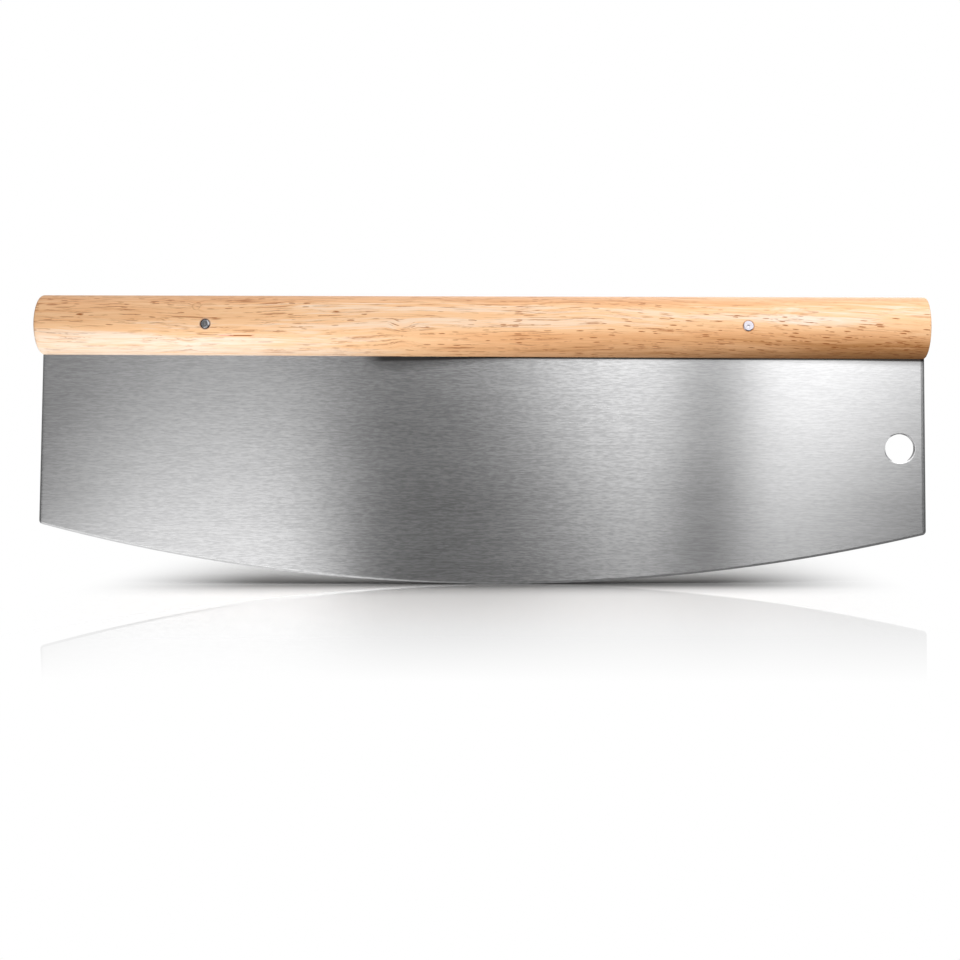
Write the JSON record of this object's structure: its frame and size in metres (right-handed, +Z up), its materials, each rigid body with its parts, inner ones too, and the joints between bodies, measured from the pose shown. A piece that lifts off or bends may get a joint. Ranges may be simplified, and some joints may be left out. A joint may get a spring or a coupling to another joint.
{
  "type": "rocking pizza knife",
  "caption": "Rocking pizza knife: a long brushed steel blade with a curved cutting edge and a hanging hole, pinned into the slot of a round wooden handle of the same length.",
  "frame": {"origin": "lowest point of the curved cutting edge, under the middle of the knife", "axes": "+X along the blade towards the end with the hanging hole, +Y through the blade's thickness, away from the face seen in the picture, +Z up from the edge to the handle"},
  "size_m": [0.352, 0.0242, 0.1138],
  "materials": {
    "blade_steel": "stainless sheet brushed along its length, satin",
    "handle_wood": "pale orange-tan hardwood with open pores, sanded and lightly oiled",
    "pin_steel": "bare steel, hammered ends"
  },
  "bodies": {
    "root": {"blade": "blade_steel", "handle": "handle_wood", "pin_left": "pin_steel", "pin_right": "pin_steel"}
  },
  "joints": []
}
